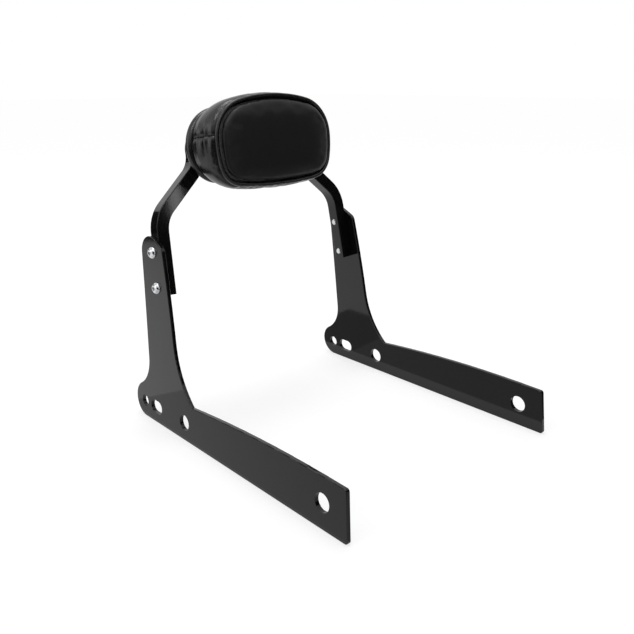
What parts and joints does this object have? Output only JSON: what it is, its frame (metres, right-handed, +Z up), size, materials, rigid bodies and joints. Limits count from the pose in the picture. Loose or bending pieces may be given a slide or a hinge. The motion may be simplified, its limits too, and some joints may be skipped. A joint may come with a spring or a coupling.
{
  "type": "motorcycle sissy bar with backrest pad",
  "caption": "Passenger backrest for a motorcycle: flat steel side plates with long forward arms, a bent square bar hoop, and an oval padded back in black vinyl.",
  "frame": {"origin": "on the ground under the middle of the side plates' length, half way between the plates; the plates' bottom edges rest on the ground", "axes": "+X to the rider's left, +Y to the rear, +Z up; the arms and the pad's front face -Y"},
  "size_m": [0.33, 0.3836, 0.3864],
  "materials": {
    "gloss_black_steel": "gloss powder coat",
    "chrome": "polished",
    "black_screw": "black oxide",
    "zinc_steel": "zinc plated",
    "black_vinyl": "satin grained vinyl",
    "black_cloth": "matte",
    "plywood": "raw",
    "grey_foam": "open cell"
  },
  "bodies": {
    "root": {"side_plate_left": "gloss_black_steel", "side_plate_right": "gloss_black_steel", "hoop_bar": "gloss_black_steel", "pad_mount_plate": "gloss_black_steel", "pad_rear_roll": "black_vinyl", "pad_band_upper": "black_vinyl", "pad_band_lower": "black_vinyl", "pad_border_roll": "black_vinyl", "pad_front_panel": "black_vinyl", "pad_rear_cover": "black_cloth", "pad_board": "plywood", "pad_foam": "grey_foam", "hoop_screw_left_upper": "chrome", "hoop_screw_left_lower": "chrome", "hoop_screw_right_upper": "chrome", "hoop_screw_right_lower": "chrome", "pad_screw_left_upper": "black_screw", "pad_screw_left_lower": "black_screw", "pad_screw_right_upper": "black_screw", "pad_screw_right_lower": "black_screw", "pad_washer_left_upper": "black_screw", "pad_washer_left_lower": "black_screw", "pad_washer_right_upper": "black_screw", "pad_washer_right_lower": "black_screw", "pad_insert_left_upper": "zinc_steel", "pad_insert_left_lower": "zinc_steel", "pad_insert_right_upper": "zinc_steel", "pad_insert_right_lower": "zinc_steel"}
  },
  "joints": []
}
